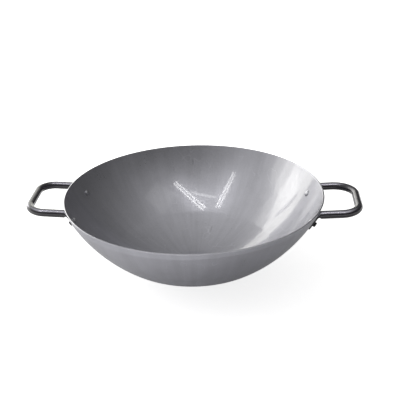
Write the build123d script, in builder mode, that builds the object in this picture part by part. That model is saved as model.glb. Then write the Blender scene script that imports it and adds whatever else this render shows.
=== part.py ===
from build123d import *
from math import acos, asin, cos, degrees, radians, sin, sqrt
import os

# A round carbon steel wok with two riveted loop handles. Millimetres and degrees.
# Origin at the middle of the underside's flat, +Z up, handles along X, front towards -Y.

# Bowl: one sheet, pressed round, all radii on its outer face
rim_radius = 200.0
sheet = 3.0
rim_band_height = 9.5
rim_band_draw_in = 1.1
wall_top_slope = 65.6
wall_arc_radius = 240.6
crease_radius = 123.0
crease_turn = 3.5
flat_radius = 35.0
rim_edge_round = 0.4

# Handles: bent tube, ends pressed flat
handle_spacing = 102.0
leg_drop = 13.2
handle_tilt = 3.0
bar_reach = 50.0
corner_radius = 26.0
tube_diameter = 12.0
strip_width = 17.0
strip_thickness = 2.3
strip_above_rivet = 13.0
strip_below_rivet = 11.5
crush_length = 4.6
strip_seat_gap = 0.1

# Rivets
rivet_drop = 26.8
shank_diameter = 5.0
shank_clearance = 0.1
head_diameter = 9.4
head_height = 2.6
head_seat_gap = 0.15
tail_diameter = 7.4
tail_height = 3.6
tail_edge_round = 0.5

# How far a cut runs past the metal it cuts
overrun = 3.0

os.makedirs("parts", exist_ok=True)

# The wall meets the bottom with a slight crease, so the slopes follow from the radii
wall_top_radius = rim_radius + rim_band_draw_in
wall_foot_slope = degrees(
    asin(sin(radians(wall_top_slope)) - (wall_top_radius - crease_radius) / wall_arc_radius)
)
cap_top_slope = wall_foot_slope - crease_turn
cap_radius = crease_radius / sin(radians(cap_top_slope))
flat_slope = degrees(asin(flat_radius / cap_radius))


def arc_point(centre, radius, slope):
    """Point on a section arc where the sheet rises at that slope."""
    return centre + Vector(radius * sin(radians(slope)), -radius * cos(radians(slope)))


cap_centre = Vector(0, cap_radius * cos(radians(flat_slope)))
crease_point = arc_point(cap_centre, cap_radius, cap_top_slope)
wall_centre = crease_point - arc_point(Vector(0, 0), wall_arc_radius, wall_foot_slope)
rim_height = arc_point(wall_centre, wall_arc_radius, wall_top_slope).Y


def wall_slope(height, depth=0):
    """Slope in degrees of the wall at a height, on its outer face or at a depth inside it."""
    return degrees(acos((wall_centre.Y - height) / (wall_arc_radius - depth)))


def rivet_frame():
    """Plane on the outer wall at the front right rivet: z out of the wall, x down the handle's strip."""
    height = rim_height - rivet_drop
    slope = radians(wall_slope(height))
    radius = wall_centre.X + wall_arc_radius * sin(slope)
    across = handle_spacing / 2
    along = sqrt(radius**2 - across**2)
    outward = Vector(sin(slope) * along / radius, -sin(slope) * across / radius, -cos(slope))
    down_strip = Vector(0, 1, 0).cross(outward)
    return Plane(origin=Vector(along, -across, height), x_dir=down_strip, z_dir=outward)


rivet_plane = rivet_frame()
rivet_places = {
    "right_front": [],
    "right_rear": [Plane.XZ],
    "left_front": [Plane.YZ],
    "left_rear": [Plane.XZ, Plane.YZ],
}


def bowl_section(depth, top):
    """Half section of all that lies inside the bowl's outer faces moved inwards, up to a height."""
    corner = (Align.MIN, Align.MIN)
    with BuildSketch() as section:
        with Locations(cap_centre):
            Circle(cap_radius - depth)
        # The bottom's circle bounds the section only up to the crease
        with Locations((0, crease_point.Y + sheet)):
            Rectangle(wall_top_radius + overrun, rim_height, align=corner)
        with Locations(wall_centre):
            Circle(wall_arc_radius - depth, mode=Mode.INTERSECT)
        with Locations((0, depth)):
            Rectangle(wall_top_radius + overrun, top - depth, align=corner, mode=Mode.INTERSECT)
    return section.sketch


# Bowl
with BuildPart() as bowl:
    with BuildSketch(Plane.XZ):
        add(bowl_section(0, rim_height + overrun))
        add(bowl_section(sheet, rim_height + 2 * overrun), mode=Mode.SUBTRACT)
        # The sheet is cut square to itself, so the rim's face tips outwards
        with BuildLine():
            rim_slope = wall_slope(rim_height, sheet)
            cut_start = arc_point(wall_centre, wall_arc_radius - sheet - overrun, rim_slope)
            cut_end = arc_point(wall_centre, wall_arc_radius + overrun, rim_slope)
            lift = Vector(0, 3 * overrun)
            Polyline(cut_start, cut_end, cut_end + lift, cut_start + lift, close=True)
        make_face(mode=Mode.SUBTRACT)
        # A steeper band is ground round the outside of the rim
        with BuildLine():
            band_foot_slope = wall_slope(rim_height - rim_band_height)
            band_foot = arc_point(wall_centre, wall_arc_radius, band_foot_slope)
            Polyline(
                band_foot,
                (rim_radius, rim_height),
                (rim_radius, rim_height + overrun),
                (wall_top_radius + 2 * overrun, rim_height + overrun),
                (wall_top_radius + 2 * overrun, band_foot.Y),
                close=True,
            )
        make_face(mode=Mode.SUBTRACT)
    revolve(axis=Axis.Z)
    rim_edges = bowl.edges().filter_by(GeomType.CIRCLE).sort_by(Axis.Z)[-2:]
    fillet(rim_edges, radius=rim_edge_round)
    hole_reach = sheet + overrun
    with BuildSketch(rivet_plane) as hole:
        Circle(shank_diameter / 2 + shank_clearance)
    front_right = extrude(hole.sketch, amount=hole_reach, both=True, mode=Mode.PRIVATE)
    for mirrors in rivet_places.values():
        cutter = front_right
        for about in mirrors:
            cutter = cutter.mirror(about)
        add(cutter, mode=Mode.SUBTRACT)
bowl.part.label = "bowl"
export_step(bowl.part, "parts/bowl.step")

# Handles: half of one loop is made, then mirrored across the bar's middle, then to the other side
strip_plane = rivet_plane.offset(strip_seat_gap)
strip_middle = rivet_plane.offset(strip_seat_gap + strip_thickness / 2)
strip_top = strip_middle.from_local_coords((-strip_above_rivet, 0, 0))
strip_section = Plane(origin=strip_top, x_dir=rivet_plane.y_dir, z_dir=rivet_plane.x_dir)
handle_plane = Plane(
    origin=(rim_radius, 0, rim_height - leg_drop),
    x_dir=(cos(radians(handle_tilt)), 0, sin(radians(handle_tilt))),
    z_dir=(-sin(radians(handle_tilt)), 0, cos(radians(handle_tilt))),
)
leg_end = (strip_top.X - rim_radius + crush_length) / cos(radians(handle_tilt))

with BuildPart() as handle_half:
    with BuildSketch(strip_section):
        SlotOverall(strip_width, strip_thickness)
    extrude(amount=strip_above_rivet + strip_below_rivet)
    with BuildSketch(strip_plane):
        with Locations((strip_below_rivet - strip_width / 2, 0)):
            Circle(strip_width / 2)
        with Locations((-strip_above_rivet, 0)):
            body_length = strip_above_rivet + strip_below_rivet - strip_width / 2
            Rectangle(body_length, strip_width, align=(Align.MIN, Align.CENTER))
    extrude(amount=strip_thickness, mode=Mode.INTERSECT)
    with BuildSketch(strip_section):
        SlotOverall(strip_width, strip_thickness)
    leg_end_point = handle_plane.from_local_coords((leg_end, -handle_spacing / 2, 0))
    with BuildSketch(Plane(origin=leg_end_point, x_dir=(0, 1, 0), z_dir=-handle_plane.x_dir)):
        Circle(tube_diameter / 2)
    loft()
    with BuildLine(handle_plane) as bend:
        FilletPolyline(
            (bar_reach, 0),
            (bar_reach, -handle_spacing / 2),
            (leg_end, -handle_spacing / 2),
            radius=corner_radius,
        )
    centreline = bend.wires()[0]
    with BuildSketch(Plane(origin=centreline @ 0, z_dir=centreline % 0)):
        Circle(tube_diameter / 2)
    sweep()
    with Locations(strip_plane):
        Hole(shank_diameter / 2 + shank_clearance, depth=strip_thickness + overrun)

with BuildPart() as handle_right:
    add(handle_half.part)
    mirror(handle_half.part, about=Plane.XZ)
handle_right.part.label = "handle_right"
export_step(handle_right.part, "parts/handle_right.step")

with BuildPart() as handle_left:
    mirror(handle_right.part, about=Plane.YZ)
handle_left.part.label = "handle_left"
export_step(handle_left.part, "parts/handle_left.step")

# Rivets: domed head inside the bowl, button outside, one for each handle end
section_z = rivet_plane.x_dir.cross(rivet_plane.z_dir)
rivet_section = Plane(origin=rivet_plane.origin, x_dir=rivet_plane.x_dir, z_dir=section_z)
rivet_axis = Axis(rivet_plane.origin, rivet_plane.z_dir)
head_seat = -sheet - head_seat_gap
tail_seat = 2 * strip_seat_gap + strip_thickness
with BuildPart() as rivet:
    with BuildSketch(rivet_section):
        with BuildLine():
            shank_radius = shank_diameter / 2
            tail_end = tail_seat + tail_height
            crown = Vector(0, head_seat - head_height)
            dome = TangentArc(crown, (head_diameter / 2, head_seat), tangent=(1, 0))
            Polyline(
                dome @ 1,
                (shank_radius, head_seat),
                (shank_radius, tail_seat),
                (tail_diameter / 2, tail_seat),
                (tail_diameter / 2, tail_end),
                (0, tail_end),
                crown,
            )
        make_face()
    revolve(axis=rivet_axis)
    end_face = rivet.faces().filter_by(GeomType.PLANE).sort_by(rivet_axis)[-1]
    fillet(end_face.edges(), radius=tail_edge_round)

for place, mirrors in rivet_places.items():
    with BuildPart() as placed_rivet:
        body = rivet.part
        for about in mirrors:
            body = body.mirror(about)
        add(body)
    placed_rivet.part.label = f"rivet_{place}"
    export_step(placed_rivet.part, f"parts/rivet_{place}.step")
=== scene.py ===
from math import acos, asin, atan, cos, degrees, pi, radians, sin, sqrt

import bpy
from mathutils import Matrix, Vector, noise


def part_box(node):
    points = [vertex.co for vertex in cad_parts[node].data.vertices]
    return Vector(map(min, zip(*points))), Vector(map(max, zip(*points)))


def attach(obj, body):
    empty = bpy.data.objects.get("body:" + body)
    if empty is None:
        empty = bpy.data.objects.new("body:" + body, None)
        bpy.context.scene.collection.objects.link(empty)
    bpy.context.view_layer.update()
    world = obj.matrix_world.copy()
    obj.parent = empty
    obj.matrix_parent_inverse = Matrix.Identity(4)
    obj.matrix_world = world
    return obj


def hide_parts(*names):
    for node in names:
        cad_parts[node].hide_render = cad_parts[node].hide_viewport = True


# A round carbon steel wok with two riveted loop handles. Metres and degrees.
# Origin at the middle of the underside's flat, +Z up, handles along X, front towards -Y.

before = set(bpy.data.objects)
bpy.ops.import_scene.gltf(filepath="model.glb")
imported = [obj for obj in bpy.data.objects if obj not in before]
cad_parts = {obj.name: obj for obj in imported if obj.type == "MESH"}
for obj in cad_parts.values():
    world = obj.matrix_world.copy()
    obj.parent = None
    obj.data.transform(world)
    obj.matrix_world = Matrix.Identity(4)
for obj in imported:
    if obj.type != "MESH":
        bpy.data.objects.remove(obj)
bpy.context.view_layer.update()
bowl_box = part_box("bowl")
mm = 0.001

# Bowl: one sheet, pressed round, all radii on its outer face
rim_radius = 200 * mm
sheet = 3 * mm
rim_band_height = 10 * mm
rim_band_sway = 3.8 * mm
rim_band_draw_in = 1.1 * mm
wall_top_slope = 65.6
wall_arc_radius = 240.6 * mm
crease_radius = 123 * mm
crease_turn = 3.5
flat_radius = 35 * mm
rim_edge_round = 0.4 * mm
crease_ease = 5 * mm
flat_ease = 14 * mm
wave_height = 0.04 * mm
wave_length = 70 * mm

# Handles: bent tube, ends pressed flat
handle_spacing = 102 * mm
leg_drop = 13.2 * mm
handle_tilt = 3.0
bar_reach = 50 * mm
corner_radius = 26 * mm
rear_corner_radii = {"right": 35 * mm, "left": 26 * mm}
tube_radius = 6 * mm
strip_half_width = 8.5 * mm
strip_half_thickness = 1.15 * mm
strip_above_rivet = 13 * mm
strip_below_rivet = 11.5 * mm
crush_length = 4.6 * mm
strip_seat_gap = 0.1 * mm

# Rivets
rivet_drop = 26.8 * mm
shank_radius = 2.5 * mm
head_radius = 4.7 * mm
head_height = 2.6 * mm
head_seat_gap = 0.15 * mm
head_lip = 0.5 * mm
tail_radius = 3.7 * mm
tail_height = 3.6 * mm
tail_edge_round = 0.5 * mm

# Slopes, centres and heights that follow from the sizes
wall_top_radius = rim_radius + rim_band_draw_in
wall_foot_slope = degrees(
    asin(sin(radians(wall_top_slope)) - (wall_top_radius - crease_radius) / wall_arc_radius)
)
cap_top_slope = wall_foot_slope - crease_turn
cap_radius = crease_radius / sin(radians(cap_top_slope))
flat_slope = degrees(asin(flat_radius / cap_radius))
rim_slope = degrees(acos(wall_arc_radius * cos(radians(wall_top_slope)) / (wall_arc_radius - sheet)))
rim_rounding_drop = rim_edge_round * (sin(radians(rim_slope)) + cos(radians(rim_slope)) - 1)
rim_height = bowl_box[1].z + rim_rounding_drop
wall_centre_radius = wall_top_radius - wall_arc_radius * sin(radians(wall_top_slope))
wall_centre_height = rim_height + wall_arc_radius * cos(radians(wall_top_slope))
head_seat = -sheet - head_seat_gap
head_crown = head_seat - head_height
tail_seat = 2 * strip_seat_gap + 2 * strip_half_thickness
tail_end = tail_seat + tail_height


def smoothstep(share):
    """0 to 1 with a soft start and end."""
    share = min(max(share, 0), 1)
    return share * share * (3 - 2 * share)


def mesh_piece(name, points, faces, material, shares=None):
    """A smooth-shaded piece that rides on the wok's one body, with named shares at its points."""
    mesh = bpy.data.meshes.new(name)
    mesh.from_pydata(points, [], faces)
    mesh.update()
    for share_name, values in (shares or {}).items():
        mesh.attributes.new(share_name, "FLOAT", "POINT").data.foreach_set("value", values)
    mesh.polygons.foreach_set("use_smooth", [True] * len(mesh.polygons))
    mesh.materials.append(material)
    piece = bpy.data.objects.new(name, mesh)
    bpy.context.scene.collection.objects.link(piece)
    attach(piece, "root")
    return piece


def ring_faces(rings, around):
    """Quads between neighbouring rings of the same number of points."""
    faces = []
    for i in range(rings - 1):
        a, b = i * around, (i + 1) * around
        for j in range(around):
            k = (j + 1) % around
            faces.append((a + j, a + k, b + k, b + j))
    return faces


# Node trees


class Nodes:
    """Builds the node tree that feeds the shader of a material or of the world."""

    def __init__(self, owner, shader):
        owner.use_nodes = True
        self.owner = owner
        self.tree = owner.node_tree
        self.shader = self.tree.nodes[shader]

    def feed(self, node, inputs):
        """Links or sets a node's inputs, given by name or number."""
        for key, value in inputs.items():
            if isinstance(value, bpy.types.NodeSocket):
                self.tree.links.new(value, node.inputs[key])
            else:
                node.inputs[key].default_value = value

    def result(self, kind, output, inputs, **settings):
        """One output of a new node with these inputs and settings."""
        node = self.tree.nodes.new(kind)
        for key, value in settings.items():
            setattr(node, key, value)
        self.feed(node, inputs)
        return node.outputs[output]

    def coordinate(self, kind):
        return self.result("ShaderNodeTexCoord", kind, {})

    def axis(self, vector, name):
        return self.result("ShaderNodeSeparateXYZ", name, {0: vector})

    def ray(self, kind):
        """1 for rays of this kind, else 0."""
        return self.result("ShaderNodeLightPath", f"Is {kind} Ray", {})

    def share(self, name):
        """A share that the mesh carries at its points."""
        return self.result("ShaderNodeAttribute", "Fac", {}, attribute_name=name)

    def math(self, operation, a, b=0.0, c=0.0):
        return self.result("ShaderNodeMath", 0, {0: a, 1: b, 2: c}, operation=operation)

    def varied(self, value, pattern, change):
        """A value made more and less by a pattern that swings about one half."""
        return self.math("MULTIPLY_ADD", self.math("SUBTRACT", pattern, 0.5), change, value)

    def vector(self, operation, a, b=(0, 0, 0), output="Vector"):
        return self.result("ShaderNodeVectorMath", output, {0: a, 1: b}, operation=operation)

    def scaled(self, vector, factor):
        inputs = {0: vector, "Scale": factor}
        return self.result("ShaderNodeVectorMath", "Vector", inputs, operation="SCALE")

    def noise(self, vector, scale, detail, roughness):
        inputs = {"Vector": vector, "Scale": scale, "Detail": detail, "Roughness": roughness}
        return self.result("ShaderNodeTexNoise", "Fac", inputs)

    def spread(self, value, low, high, to_low=0.0, to_high=1.0):
        """Maps low..high softly to to_low..to_high, held at the ends."""
        inputs = {0: value, 1: low, 2: high, 3: to_low, 4: to_high}
        return self.result("ShaderNodeMapRange", 0, inputs, interpolation_type="SMOOTHSTEP")

    def mix(self, share, a, b):
        return self.result("ShaderNodeMix", 2, {0: share, 6: a, 7: b}, data_type="RGBA")

    def tinted(self, shade, factors):
        """A colour made of a shade and one factor each for red, green and blue."""
        channels = [self.math("MULTIPLY", shade, factor) for factor in factors]
        return self.result("ShaderNodeCombineColor", 0, dict(enumerate(channels)))

    def bump(self, height, strength, distance):
        inputs = {"Strength": strength, "Distance": distance, "Height": height}
        return self.result("ShaderNodeBump", 0, inputs)


def material_nodes(name):
    return Nodes(bpy.data.materials.new(name), "Principled BSDF")


# Steel of the bowl

steel_shade = 0.50
# Painted light: the band is lifted a little to stand in for the brighter floor that its steeper face
# reflects
band_painted_light = 0.02
steel_tint = (0.97, 0.968, 1.055)
steel_shade_change = 0.12
# Noise patterns: scale, detail, roughness
steel_clouds = (26.0, 4.0, 0.55)
steel_grain = (420.0, 2.0, 0.6)
# Polishing streaks: how closely they stand round the bowl, and their noise pattern
soft_streaks = (14.0, (1.0, 3.0, 0.55))
fine_streaks = (75.0, (1.0, 4.0, 0.6))
# How fast the streaks change on the way outwards
streak_drift = 9.0
# Hair scratches: thin bends of one noise, broken up by another
scratch_bends = (38.0, 1.0, 0.4)
scratch_width = 0.012
scratch_breaks = (17.0, 2.0, 0.5)
scratch_break_range = (0.54, 0.60)
scratch_brighter = 0.07
# Rub marks inside the bowl, in millimetres: centre, half length outwards, half width, change of shade
rub_marks = (
    ((21.3, 88.1, 19.3), 9, 1.8, -0.09),
    ((16.6, 88.2, 19.0), 8, 1.6, 0.05),
    ((-13.9, 183, 102.3), 4, 1.8, -0.09),
    ((66, 84, 27), 11, 2.2, 0.04),
)
rub_mark_core_share = 0.1
# Polished and dull grains lie side by side
steel_grain_range = (0.36, 0.64)
steel_roughness_range = (0.30, 0.42)
steel_roughness_change = 0.10
fine_streak_relief_share = 0.6
grain_relief_share = 0.4
steel_bump_strength = 0.25
steel_bump = 0.05 * mm
film_roughness = 0.07
film_ior = 1.8


def rub_mark(n, place, centre, half_length, half_width, change):
    """Change of shade over one soft oval mark that runs outwards."""
    centre = Vector(centre) * mm
    outwards = Vector((centre.x, centre.y, 0)).normalized()
    across = Vector((-outwards.y, outwards.x, 0))
    away = n.vector("SUBTRACT", place, centre)
    spans = []
    for direction, half in ((outwards, half_length * mm), (across, half_width * mm)):
        span = n.vector("DOT_PRODUCT", away, direction / half, output="Value")
        spans.append(n.math("POWER", n.math("ABSOLUTE", span), 2.0))
    return n.spread(n.math("ADD", *spans), rub_mark_core_share, 1.0, change, 0.0)


def bowl_steel():
    """Bare carbon steel, with polish streaks from the middle outwards, and a thin clear film on the
    inside.
    """
    n = material_nodes("bowl_steel")
    place = n.coordinate("Object")
    flat = n.vector("MULTIPLY", place, (1, 1, 0))
    outward = n.vector("NORMALIZE", flat)
    drift = n.math("MULTIPLY", n.vector("LENGTH", flat, output="Value"), streak_drift)
    lift = n.result("ShaderNodeCombineXYZ", 0, {2: drift})

    def streaks(density, pattern):
        """Noise on a tall cylinder of directions, which makes streaks from the middle outwards."""
        return n.noise(n.vector("ADD", n.scaled(outward, density), lift), *pattern)

    soft, fine = streaks(*soft_streaks), streaks(*fine_streaks)
    clouds, grain = n.noise(place, *steel_clouds), n.noise(place, *steel_grain)
    inside = n.math("SUBTRACT", 1.0, n.share("outside"))
    # Painted light: the band is made a little brighter than the pressed sheet, standing in for the
    # brighter floor that its steeper face reflects
    shade = n.math("MULTIPLY_ADD", n.share("band"), band_painted_light, steel_shade)
    for pattern in (clouds, soft, grain):
        shade = n.varied(shade, pattern, steel_shade_change)
    bend = n.math("ABSOLUTE", n.math("SUBTRACT", n.noise(place, *scratch_bends), 0.5))
    broken = n.spread(n.noise(place, *scratch_breaks), *scratch_break_range)
    scratches = n.math("MULTIPLY", n.spread(bend, 0.0, scratch_width, 1.0, 0.0), broken)
    shade = n.math("MULTIPLY_ADD", scratches, scratch_brighter, shade)
    for mark in rub_marks:
        shade = n.math("MULTIPLY_ADD", rub_mark(n, place, *mark), inside, shade)
    rough = n.spread(grain, *steel_grain_range, *steel_roughness_range)
    for pattern in (fine, clouds):
        rough = n.varied(rough, pattern, steel_roughness_change)
    relief = n.math("MULTIPLY", grain, grain_relief_share)
    relief = n.math("MULTIPLY_ADD", fine, fine_streak_relief_share, relief)
    look = {
        "Base Color": n.tinted(shade, steel_tint),
        "Metallic": 1.0,
        "Roughness": rough,
        "Normal": n.bump(relief, steel_bump_strength, steel_bump),
        "Coat Weight": inside,
        "Coat Roughness": film_roughness,
        "Coat IOR": film_ior,
    }
    n.feed(n.shader, look)
    return n.owner


# Finish of the handles

handle_dark = (0.018, 0.016, 0.024, 1.0)
# Painted highlight: colour of the bright bare metal on the sides that face the highlights
handle_painted_highlight = (0.48, 0.47, 0.53, 1.0)
handle_clouds = (60.0, 4.0, 0.6)
handle_grain = (500.0, 2.0, 0.6)
# Painted highlight: ways that the bright sides face, how squarely a side faces its way, and how uneven
# the highlight's edge is
highlight_ways = ((0, -0.55, 0.83), (-0.66, -0.1, 0.74))
highlight_facing_range = (0.90, 0.99)
highlight_edge_change = 0.06
right_bar_highlight_share = 0.3
handle_roughness = 0.24
handle_roughness_change = 0.12
handle_bump_strength = 0.06
handle_bump = 0.04 * mm
handle_gloss = 0.5
handle_gloss_roughness = 0.06


def handle_steel():
    """Steel tube with a dark glossy finish, with a painted highlight of bright bare metal along its
    upper sides.
    """
    n = material_nodes("handle_steel")
    place, normal = n.coordinate("Object"), n.coordinate("Normal")
    clouds, grain = n.noise(place, *handle_clouds), n.noise(place, *handle_grain)
    # The second way's painted highlight is weaker on the right handle
    bar_highlight_share = n.spread(n.axis(place, "X"), -tube_radius, tube_radius, 1.0, right_bar_highlight_share)
    # Painted highlight: bright bare metal on the sides that face these ways
    painted_highlight = 0.0
    for way, share in zip(highlight_ways, (1.0, bar_highlight_share)):
        facing = n.vector("DOT_PRODUCT", normal, Vector(way).normalized(), output="Value")
        side = n.spread(n.varied(facing, clouds, highlight_edge_change), *highlight_facing_range)
        painted_highlight = n.math("MAXIMUM", n.math("MULTIPLY", side, share), painted_highlight)
    look = {
        "Base Color": n.mix(painted_highlight, handle_dark, handle_painted_highlight),
        "Metallic": painted_highlight,
        "Roughness": n.varied(handle_roughness, clouds, handle_roughness_change),
        "Normal": n.bump(grain, handle_bump_strength, handle_bump),
        "Coat Weight": handle_gloss,
        "Coat Roughness": handle_gloss_roughness,
    }
    n.feed(n.shader, look)
    return n.owner


# Steel of the rivets

rivet_shade = 0.40
# Painted light: how much brighter the right pair is made than the left
right_pair_painted_light = 0.32
button_darker_share = 0.88
rivet_tint = (0.98, 0.99, 1.04)
rivet_clouds = (300.0, 4.0, 0.6)
rivet_shade_change = 0.12
rivet_roughness = 0.30
rivet_roughness_more = 0.1
rivet_bump_strength = 0.3
rivet_bump = 0.1 * mm


def rivet_steel():
    """Plain steel, made brighter on the right pair as painted light, and dark like the handles on the
    button.
    """
    n = material_nodes("rivet_steel")
    clouds = n.noise(n.coordinate("Object"), *rivet_clouds)
    # Painted light on the right pair
    shade = n.math("MULTIPLY_ADD", n.share("painted_light"), right_pair_painted_light, rivet_shade)
    left_over = n.math("MULTIPLY_ADD", n.share("button"), -button_darker_share, 1.0)
    shade = n.varied(n.math("MULTIPLY", shade, left_over), clouds, rivet_shade_change)
    look = {
        "Base Color": n.tinted(shade, rivet_tint),
        "Metallic": 1.0,
        "Roughness": n.math("MULTIPLY_ADD", clouds, rivet_roughness_more, rivet_roughness),
        "Normal": n.bump(clouds, rivet_bump_strength, rivet_bump),
    }
    n.feed(n.shader, look)
    return n.owner


# Bowl

bowl_around = 360
profile_step = 2 * mm
# Each step of the profile is walked in this many parts
walk_parts = 8
rim_arc_points = 6
# Rings of the wall just under the band, and of the band itself
high_wall_shares = (0.15, 0.3, 0.45, 0.6, 0.75, 0.9, 0.98, 1.0)
band_shares = (0.02, 0.1, 0.4, 0.7, 0.97)


def outer_profile():
    """Radius, height and slope along the outer face, from the underside's middle to the rim's plane."""
    cap_length = cap_radius * radians(cap_top_slope - flat_slope)
    wall_length = wall_arc_radius * radians(wall_top_slope - wall_foot_slope)
    stretches = [
        (flat_radius, 0, 0, flat_ease),
        (cap_length, flat_slope, cap_top_slope, crease_ease),
        (wall_length, wall_foot_slope, wall_top_slope, 0),
    ]
    starts = [sum(s[0] for s in stretches[:i]) for i in range(len(stretches))]
    total = sum(s[0] for s in stretches)

    def slope_of(index, place):
        length, low, high, _ = stretches[index]
        return low + (high - low) * (place - starts[index]) / length

    def slope_at(place):
        """The stretches' own slopes, eased into each other where they meet."""
        index = max(i for i, start in enumerate(starts) if place >= start)
        slope = slope_of(index, place)
        for i in range(len(stretches) - 1):
            joint, ease = starts[i + 1], stretches[i][3]
            if abs(place - joint) < ease / 2:
                share = smoothstep((place - joint) / ease + 0.5)
                slope = slope_of(i, place) * (1 - share) + slope_of(i + 1, place) * share
        return slope

    steps = round(total / profile_step) * walk_parts
    step = total / steps
    radius, height, walk = 0.0, 0.0, [(0.0, 0.0, 0.0)]
    for i in range(steps):
        slope = radians(slope_at((i + 0.5) * step))
        radius += cos(slope) * step
        height += sin(slope) * step
        walk.append((radius, height, radians(slope_at(min((i + 1) * step, total)))))
    radius_fit, height_fit = wall_top_radius / radius, rim_height / height
    return [(r * radius_fit, h * height_fit, s) for r, h, s in walk[::walk_parts]]


def wall_radius(height):
    """Radius of the wall's outer face at a height."""
    return wall_centre_radius + sqrt(wall_arc_radius**2 - (wall_centre_height - height) ** 2)


def arc_points(centre, radius, start, end, count):
    """Points of an arc in the section plane, angles from the radius direction."""
    angles = [radians(start + (end - start) * i / (count - 1)) for i in range(count)]
    return [(centre[0] + radius * cos(a), centre[1] + radius * sin(a)) for a in angles]


def band_line(azimuth):
    """Rim radius, foot height and lean of the ground band, which is taller on the left."""
    lean = (rim_radius - wall_radius(rim_height - rim_band_height)) / rim_band_height
    height = rim_band_height - rim_band_sway * cos(radians(azimuth))
    foot = rim_height - height
    return wall_radius(foot) + lean * height, foot, lean


def bowl_section(outer, azimuth):
    """Section at an azimuth, from the underside's middle over the rim to the inside's middle.

    Also how far each of its points lies on the outside and on the ground band, 0 or 1.
    """
    top, foot, lean = band_line(azimuth)
    edge = rim_edge_round
    # Near the band the wall's rings are shares of the way up to the band's foot
    low_wall = [(r, h) for r, h, _ in outer if h < rim_height - 2 * rim_band_height]
    start = low_wall[-1][1]
    high_wall = []
    for share in high_wall_shares:
        height = start + (foot - start) * share
        high_wall.append((wall_radius(height), height))
    # The sheet is cut square to itself, and both edges of the cut are rounded
    slope = radians(rim_slope)
    through, along = Vector((sin(slope), -cos(slope))), Vector((cos(slope), sin(slope)))
    inner_corner = Vector((wall_centre_radius, wall_centre_height))
    inner_corner += through * (wall_arc_radius - sheet)
    cut = (top - inner_corner.x) / (sin(slope) + lean * cos(slope))
    band_out = Vector((1, -lean)).normalized()
    outer_corner = inner_corner + through * cut
    outer_centre = outer_corner - (along + band_out) * edge / (1 + along.dot(band_out))
    rim = arc_points(outer_centre, edge, -degrees(atan(lean)), rim_slope, rim_arc_points)
    inner_centre = inner_corner + (through - along) * edge
    rim += arc_points(inner_centre, edge, rim_slope, rim_slope + 90, rim_arc_points)
    foot_place, top_place = Vector(high_wall[-1]), Vector(rim[0])
    band = [tuple(foot_place.lerp(top_place, share)) for share in band_shares]
    inner = [(r - sheet * sin(s), h + sheet * cos(s)) for r, h, s in outer]
    inner_wall = [(r, h) for r, h in inner if h < rim_height - 3 * edge]
    stretches = (
        (low_wall[1:] + high_wall, 1.0, 0.0),
        (band, 1.0, 1.0),
        (rim, 0.0, 1.0),
        (inner_wall[:0:-1], 0.0, 0.0),
    )
    return [(r, h, out, ground) for places, out, ground in stretches for r, h in places]


def make_bowl(material):
    """Sections all round, joined into rings, with the wall's slight waves."""
    outer = outer_profile()
    sections = [bowl_section(outer, 360 * j / bowl_around) for j in range(bowl_around)]
    points, outside, band = [], [], []
    for i in range(len(sections[0])):
        for j in range(bowl_around):
            turn = 2 * pi * j / bowl_around
            r, h, out, ground = sections[j][i]
            points.append(Vector((r * cos(turn), r * sin(turn), h)))
            outside.append(out)
            band.append(ground)
    faces = ring_faces(len(sections[0]), bowl_around)
    # The pressed wall is a little wavy, fading out towards the flat and the rim
    for point in points:
        reach = Vector((point.x, point.y, 0))
        fade = smoothstep((reach.length - flat_radius) / flat_radius)
        fade *= smoothstep((rim_radius - reach.length) / rim_band_height)
        swell = noise.noise(point / wave_length) * wave_height * fade
        point -= reach.normalized() * swell
        point.z += swell
    middle_outer, middle_inner = len(points), len(points) + 1
    points += [Vector((0, 0, 0)), Vector((0, 0, sheet))]
    shares = {"outside": outside + [1.0, 0.0], "band": band + [0.0, 0.0]}
    last = (len(sections[0]) - 1) * bowl_around
    for j in range(bowl_around):
        k = (j + 1) % bowl_around
        faces.append((middle_outer, k, j))
        faces.append((middle_inner, last + j, last + k))
    return mesh_piece("bowl_sheet", points, faces, material, shares)


# Handles

section_points = 48
# Rings of the strip's rounded end, in millimetres from its tip, and of the rest of the strip
strip_end_steps = (0.05, 0.3, 0.8, 1.6, 2.8, 4.5, 6.5, 8.5)
strip_shares = (0.25, 0.5, 0.75, 1.0)
# The strip is thinner at its tip, and full within a short way
strip_tip_thickness_share = 0.55
strip_tip_length = 1.6 * mm
# How quickly a ring crosses a slot's flat sides, as a factor
flat_crossing = 2.2
crush_pull_share = 0.45
crush_rings = 12
leg_rings = 6
corner_rings = 24
bar_rings = 4


def rivet_frame():
    """Place, outward direction and downward strip direction at the front right rivet."""
    height = rim_height - rivet_drop
    slope = acos((wall_centre_height - height) / wall_arc_radius)
    radius = wall_centre_radius + wall_arc_radius * sin(slope)
    across = handle_spacing / 2
    along = sqrt(radius**2 - across**2)
    outward = Vector((sin(slope) * along / radius, -sin(slope) * across / radius, -cos(slope)))
    down_strip = Vector((0, 1, 0)).cross(outward).normalized()
    return Vector((along, -across, height)), outward, down_strip


def section_ring(place, direction, normal, half_width, half_thickness):
    """A flattened ring round the tube's path: a slot that grows into a circle."""
    side = normal.cross(direction).normalized()
    normal = direction.cross(side).normalized()
    flat = max(half_width - half_thickness, 0)
    ring = []
    for j in range(section_points):
        turn = 2 * pi * (j + 0.5) / section_points
        across = flat * min(max(flat_crossing * cos(turn), -1), 1) + half_thickness * cos(turn)
        up = half_thickness * sin(turn)
        ring.append(place + side * across + normal * up)
    return ring


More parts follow.
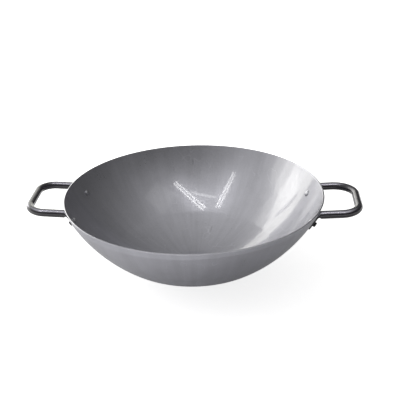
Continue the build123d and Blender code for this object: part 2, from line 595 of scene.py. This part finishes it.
def strip_stops(middle, down_strip, inward):
    """Stops up the flat strip, from its rounded lower end to where it starts to open."""
    stops = []
    for step in strip_end_steps:
        back = step * mm
        width = sqrt(strip_half_width**2 - (strip_half_width - back) ** 2)
        thicker = (1 - strip_tip_thickness_share) * back / strip_tip_length
        thickness = strip_half_thickness * min(1, strip_tip_thickness_share + thicker)
        place = middle + down_strip * (strip_below_rivet - back)
        stops.append((place, -down_strip, inward, width, thickness))
    start = strip_below_rivet - strip_half_width
    for share in strip_shares:
        place = middle + down_strip * (start + (-strip_above_rivet - start) * share)
        stops.append((place, -down_strip, inward, strip_half_width, strip_half_thickness))
    return stops


def crush_stops(start, end):
    """Stops where the strip opens into the round tube and turns outwards, on one soft curve."""
    top, up_strip, inward = start
    foot, leg_way, leg_normal = end
    pull = (foot - top).length * crush_pull_share
    controls = (top, top + up_strip * pull, foot - leg_way * pull, foot)
    stops = []
    for i in range(1, crush_rings + 1):
        t = i / crush_rings
        weights = ((1 - t) ** 3, 3 * t * (1 - t) ** 2, 3 * t * t * (1 - t), t**3)
        place = sum((control * weight for control, weight in zip(controls, weights)), Vector())
        turn = smoothstep(t)
        direction = (up_strip * (1 - turn) + leg_way * turn).normalized()
        normal = (inward * (1 - turn) + leg_normal * turn).normalized()
        width = strip_half_width + (tube_radius - strip_half_width) * turn
        thickness = strip_half_thickness + (tube_radius - strip_half_thickness) * turn
        stops.append((place, direction, normal, width, thickness))
    return stops


def loop_stops(leg_line, leg_way, leg_normal, leg_start, bend_radius):
    """Stops along the leg, the corner and half the bar, in the loop's plane."""
    bar_way = Vector((0, 1, 0))
    corner_start = bar_reach - bend_radius
    line = []
    for i in range(1, leg_rings + 1):
        reach = leg_start + (corner_start - leg_start) * i / leg_rings
        line.append((leg_line + leg_way * reach, leg_way))
    corner_middle = leg_line + leg_way * corner_start + bar_way * bend_radius
    for i in range(1, corner_rings + 1):
        turn = radians(90 * i / corner_rings)
        offset = leg_way * (bend_radius * sin(turn)) - bar_way * (bend_radius * cos(turn))
        line.append((corner_middle + offset, leg_way * cos(turn) + bar_way * sin(turn)))
    bar_start = corner_middle + leg_way * bend_radius
    for i in range(1, bar_rings + 1):
        place = Vector((bar_start.x, bar_start.y * (1 - i / bar_rings), bar_start.z))
        line.append((place, bar_way))
    return [(place, way, leg_normal, tube_radius, tube_radius) for place, way in line]


def half_path(bend_radius):
    """Path of half a right handle, from its front end to the bar's middle.

    Each stop has its place, direction, normal, half width and half thickness.
    """
    rivet, outward, down_strip = rivet_frame()
    middle = rivet + outward * (strip_seat_gap + strip_half_thickness)
    top = middle - down_strip * strip_above_rivet
    tilt = radians(handle_tilt)
    leg_way = Vector((cos(tilt), 0, sin(tilt)))
    leg_normal = Vector((-sin(tilt), 0, cos(tilt)))
    leg_line = Vector((rim_radius, -handle_spacing / 2, rim_height - leg_drop))
    leg_start = (top.x - rim_radius + crush_length) / cos(tilt)
    foot = leg_line + leg_way * leg_start
    path = strip_stops(middle, down_strip, -outward)
    path += crush_stops((top, -down_strip, -outward), (foot, leg_way, leg_normal))
    return path + loop_stops(leg_line, leg_way, leg_normal, leg_start, bend_radius)


def mirrored(vector, axis):
    """The vector with one of its three numbers turned round."""
    flipped = vector.copy()
    flipped[axis] = -flipped[axis]
    return flipped


def make_handle(name, side, rear_corner_radius, material):
    """One loop: two half paths that meet in the bar's middle, and both ends closed."""
    front = half_path(corner_radius)
    back = half_path(rear_corner_radius)[-2::-1]
    rear = [(mirrored(p, 1), -mirrored(d, 1), mirrored(n, 1), w, t) for p, d, n, w, t in back]
    path = front + rear
    points = [point for stop in path for point in section_ring(*stop)]
    faces = ring_faces(len(path), section_points)
    for start, flip in ((0, True), ((len(path) - 1) * section_points, False)):
        ring = points[start : start + section_points]
        points.append(sum(ring, Vector()) / section_points)
        for j in range(section_points):
            k = (j + 1) % section_points
            face = (start + j, start + k, len(points) - 1)
            faces.append(face[::-1] if flip else face)
    if side < 0:
        points = [mirrored(point, 0) for point in points]
        faces = [face[::-1] for face in faces]
    return mesh_piece(name, points, faces, material)


# Rivets

rivet_around = 48
dome_rings = 12
edge_rings = 5


def rivet_section():
    """Radius of each ring and its height out of the wall, from the head's crown to the button's end."""
    crown = head_height - head_lip
    dome_radius = (head_radius**2 + crown**2) / (2 * crown)
    section = []
    for i in range(1, dome_rings + 1):
        radius = head_radius * i / dome_rings
        drop = dome_radius - sqrt(dome_radius**2 - radius**2)
        section.append((radius, head_crown + drop))
    section += [(head_radius, head_seat), (shank_radius, head_seat), (shank_radius, tail_seat)]
    section += [(tail_radius, tail_seat)]
    edge = tail_edge_round
    for i in range(edge_rings + 1):
        turn = radians(90 * i / edge_rings)
        section.append((tail_radius - edge + edge * cos(turn), tail_end - edge + edge * sin(turn)))
    return section + [(tail_radius / 2, tail_end)]


def make_rivet(name, side, end, material):
    """A domed head inside, a shank and an upset button outside."""
    place, outward, down_strip = rivet_frame()
    across = outward.cross(down_strip)
    section = rivet_section()
    points = []
    for r, h in section:
        for j in range(rivet_around):
            turn = 2 * pi * j / rivet_around
            points.append(place + outward * h + (down_strip * cos(turn) + across * sin(turn)) * r)
    faces = [face[::-1] for face in ring_faces(len(section), rivet_around)]
    points += [place + outward * head_crown, place + outward * tail_end]
    last = (len(section) - 1) * rivet_around
    for j in range(rivet_around):
        k = (j + 1) % rivet_around
        faces.append((len(points) - 2, j, k))
        faces.append((len(points) - 1, last + k, last + j))
    for wanted, axis in ((side, 0), (end, 1)):
        if wanted < 0:
            points = [mirrored(point, axis) for point in points]
            faces = [face[::-1] for face in faces]
    button = [1.0 if h >= tail_seat else 0.0 for _, h in section for _ in range(rivet_around)]
    # Painted light: the right pair is made brighter
    painted_light = [1.0 if side > 0 else 0.0] * len(points)
    shares = {"button": button + [0.0, 1.0], "painted_light": painted_light}
    return mesh_piece(name, points, faces, material, shares)


def make_wok():
    """Every piece, with the CAD node that it replaces."""
    bowl_material, handle_material, rivet_material = bowl_steel(), handle_steel(), rivet_steel()
    bowl = make_bowl(bowl_material)
    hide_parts("bowl")
    for side_name, side in (("right", 1), ("left", -1)):
        rear_radius = rear_corner_radii[side_name]
        handle = make_handle(f"{side_name}_handle_tube", side, rear_radius, handle_material)
        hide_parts(f"handle_{side_name}")
        for end_name, end in (("front", 1), ("rear", -1)):
            rivet = make_rivet(f"{side_name}_{end_name}_rivet", side, end, rivet_material)
            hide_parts(f"rivet_{side_name}_{end_name}")


# Floor

floor_reach = 60.0
floor_colour = (0.62, 0.62, 0.62, 1.0)
# Glow near the wok, as the camera alone sees it and as the camera and the steel see it
floor_camera_glow = 0.68
floor_near_glow = 0.12
# Painted shadow: the glow is weak near the wok and grows to white over these distances from a point
# under the right handle, slower along X
painted_shadow_centre = (0.22, 0, 0)
painted_shadow_stretch = (0.62, 1, 1)
painted_shadow_range = (0.13, 0.70)


def make_floor():
    """A plain white floor that keeps the wok's soft shadow, with a painted shadow where its glow fades
    near the wok.
    """
    corners = [(x * floor_reach, y * floor_reach, 0) for x, y in ((-1, -1), (1, -1), (1, 1), (-1, 1))]
    mesh = bpy.data.meshes.new("floor")
    mesh.from_pydata(corners, [], [(0, 1, 2, 3)])
    floor = bpy.data.objects.new("floor", mesh)
    bpy.context.scene.collection.objects.link(floor)
    n = material_nodes("floor_white")
    camera_ray = n.ray("Camera")
    seen = n.math("MAXIMUM", camera_ray, n.ray("Glossy"))
    seen = n.math("MAXIMUM", seen, n.ray("Transmission"))
    aside = n.vector("SUBTRACT", n.coordinate("Object"), painted_shadow_centre)
    reach = n.vector("LENGTH", n.vector("MULTIPLY", aside, painted_shadow_stretch), output="Value")
    glow = n.math("MULTIPLY", seen, floor_near_glow)
    glow = n.math("MULTIPLY_ADD", camera_ray, floor_camera_glow, glow)
    # Painted shadow: the glow that the camera and the steel see fades near the wok
    glow = n.math("MULTIPLY_ADD", seen, n.spread(reach, *painted_shadow_range), glow)
    look = {
        "Base Color": floor_colour,
        "Roughness": 1.0,
        "Specular IOR Level": 0.0,
        "Emission Color": (1, 1, 1, 1),
        "Emission Strength": glow,
    }
    n.feed(n.shader, look)
    mesh.materials.append(n.owner)


# Lamps: the tubes and the window stand about where the photo's reflections come from

ceiling_height = 2.06
tube_width = 0.034
tube_gap = 0.09
tube_radiance = 7.6
# Where the two rows of twin tubes turn, on the ceiling
twin_rows = {
    "front_lamp": [(0.678, -1.007), (0.326, -0.759), (0.029, -0.51), (-0.262, -0.22)],
    "side_lamp": [(-1.489, -1.291), (-1.09, -0.873), (-0.808, -0.519), (-0.598, -0.193)],
}
# A dim strip and a dimmer panel on the ceiling: centre, length and width, radiance
ceiling_lamps = {
    "ceiling_strip": ((-0.23, -0.655), (0.75, 0.05), 3.0),
    "ceiling_panel": ((1.05, -0.35), (0.8, 0.8), 0.3),
}
ceiling_lamp_angle = 163.5
window_distance = 1.5
window_facing = Vector((-0.62, 0.78, 0)).normalized()
window_colour = (1.0, 0.995, 0.93)
# Start and end along the wall, bottom and top, radiance
window_panes = {
    "sill": (-1.0, 0.1, 0.02, 0.48, 1.35),
    "sill_right": (0.1, 1.5, 0.02, 0.48, 2.1),
    "wide_pane": (-1.0, -0.385, 0.48, 1.08, 1.95),
    "narrow_pane": (-0.28, 0.03, 0.48, 1.08, 1.85),
    "transom": (-0.385, -0.28, 0.9, 1.08, 1.6),
    "right_pane": (0.03, 1.5, 0.48, 1.1, 1.75),
    "curtain_side": (-1.5, -1.0, 0.02, 1.25, 1.05),
    "curtain_end": (-2.3, -1.5, 0.02, 1.5, 0.6),
    "curtain_top": (-1.0, -0.25, 1.08, 1.5, 0.55),
}


def area_lamp(name, centre, along, down, size, radiance, colour=(1, 1, 1)):
    """A rectangular lamp that faces along x down and looks as bright as its radiance."""
    lamp = bpy.data.lights.new(name, "AREA")
    lamp.shape = "RECTANGLE"
    lamp.size, lamp.size_y = size
    lamp.energy = radiance * pi * size[0] * size[1]
    lamp.color = colour
    lamp_object = bpy.data.objects.new(name, lamp)
    along = along.normalized()
    down = down.normalized()
    back = along.cross(down).normalized()
    lamp_object.matrix_world = Matrix.Translation(centre) @ Matrix(
        ((along.x, down.x, back.x), (along.y, down.y, back.y), (along.z, down.z, back.z))
    ).to_4x4()
    bpy.context.scene.collection.objects.link(lamp_object)


def make_tubes():
    """Two rows of twin tubes, each in three straight pieces."""
    for name, places in twin_rows.items():
        for number, (start, end) in enumerate(zip(places, places[1:])):
            along = Vector((*end, 0)) - Vector((*start, 0))
            aside = Vector((-along.y, along.x, 0)).normalized()
            middle = Vector((*start, ceiling_height)) + along / 2
            for side, offset in (("a", -tube_gap / 2), ("b", tube_gap / 2)):
                centre, size = middle + aside * offset, (along.length, tube_width)
                area_lamp(f"{name}_{number}{side}", centre, along, aside, size, tube_radiance)


def make_ceiling_lamps():
    along = Vector((cos(radians(ceiling_lamp_angle)), sin(radians(ceiling_lamp_angle)), 0))
    aside = Vector((-along.y, along.x, 0))
    for name, (place, size, radiance) in ceiling_lamps.items():
        area_lamp(name, Vector((*place, ceiling_height)), along, aside, size, radiance)


def make_window():
    """Panes, sill and curtains, upright on one wall behind the wok."""
    along = Vector((window_facing.y, -window_facing.x, 0))
    up = Vector((0, 0, 1))
    for name, (start, end, bottom, top, radiance) in window_panes.items():
        centre = window_facing * window_distance + along * ((start + end) / 2)
        centre.z = (bottom + top) / 2
        area_lamp(name, centre, -along, up, (end - start, top - bottom), radiance, window_colour)


# Room: least brightness, and how much brighter it gets to the left and upwards

room_least = 0.095
room_left_more = 0.5
room_up_more = 0.42


def make_world():
    """A room that is dark on the right, brighter on the left and towards the ceiling."""
    world = bpy.data.worlds.new("room")
    bpy.context.scene.world = world
    n = Nodes(world, "Background")
    place = n.coordinate("Generated")
    left = n.math("MAXIMUM", n.math("MULTIPLY", n.axis(place, "X"), -1.0), 0.0)
    up = n.math("MAXIMUM", n.axis(place, "Z"), 0.0)
    bright = n.math("MULTIPLY_ADD", left, room_left_more, room_least)
    bright = n.math("MULTIPLY_ADD", n.math("MULTIPLY", up, up), room_up_more, bright)
    n.feed(n.shader, {"Color": (1, 1, 1, 1), "Strength": bright})


# Camera, which stands where the photograph's did

view_azimuth = 4.55
view_elevation = 24.57
view_distance = 1264.2 * mm
view_yaw = -0.435
view_pitch = -0.585
view_roll = 1.74
image_width = 400
focal_pixels = 819.6
sensor_width = 36.0


def make_camera():
    around, above = radians(view_azimuth), radians(view_elevation)
    back = Vector((sin(around) * cos(above), -cos(around) * cos(above), sin(above)))
    ahead = -back
    right = ahead.cross(Vector((0, 0, 1))).normalized()
    up = right.cross(ahead)
    turn = Matrix.Rotation(radians(view_yaw), 3, up)
    ahead, right = turn @ ahead, turn @ right
    turn = Matrix.Rotation(radians(view_pitch), 3, right)
    ahead, up = turn @ ahead, turn @ up
    turn = Matrix.Rotation(radians(view_roll), 3, ahead)
    right, up = turn @ right, turn @ up
    camera = bpy.data.cameras.new("camera")
    camera.sensor_width = sensor_width
    camera.lens = focal_pixels / image_width * sensor_width
    camera_object = bpy.data.objects.new("camera", camera)
    place = Vector((0, 0, rim_height)) + back * view_distance
    rows = ((right.x, up.x, -ahead.x), (right.y, up.y, -ahead.y), (right.z, up.z, -ahead.z))
    camera_object.matrix_world = Matrix.Translation(place) @ Matrix(rows).to_4x4()
    bpy.context.scene.collection.objects.link(camera_object)
    bpy.context.scene.camera = camera_object


make_wok()
make_floor()
make_tubes()
make_ceiling_lamps()
make_window()
make_world()
make_camera()
bpy.context.scene.view_settings.view_transform = "Standard"
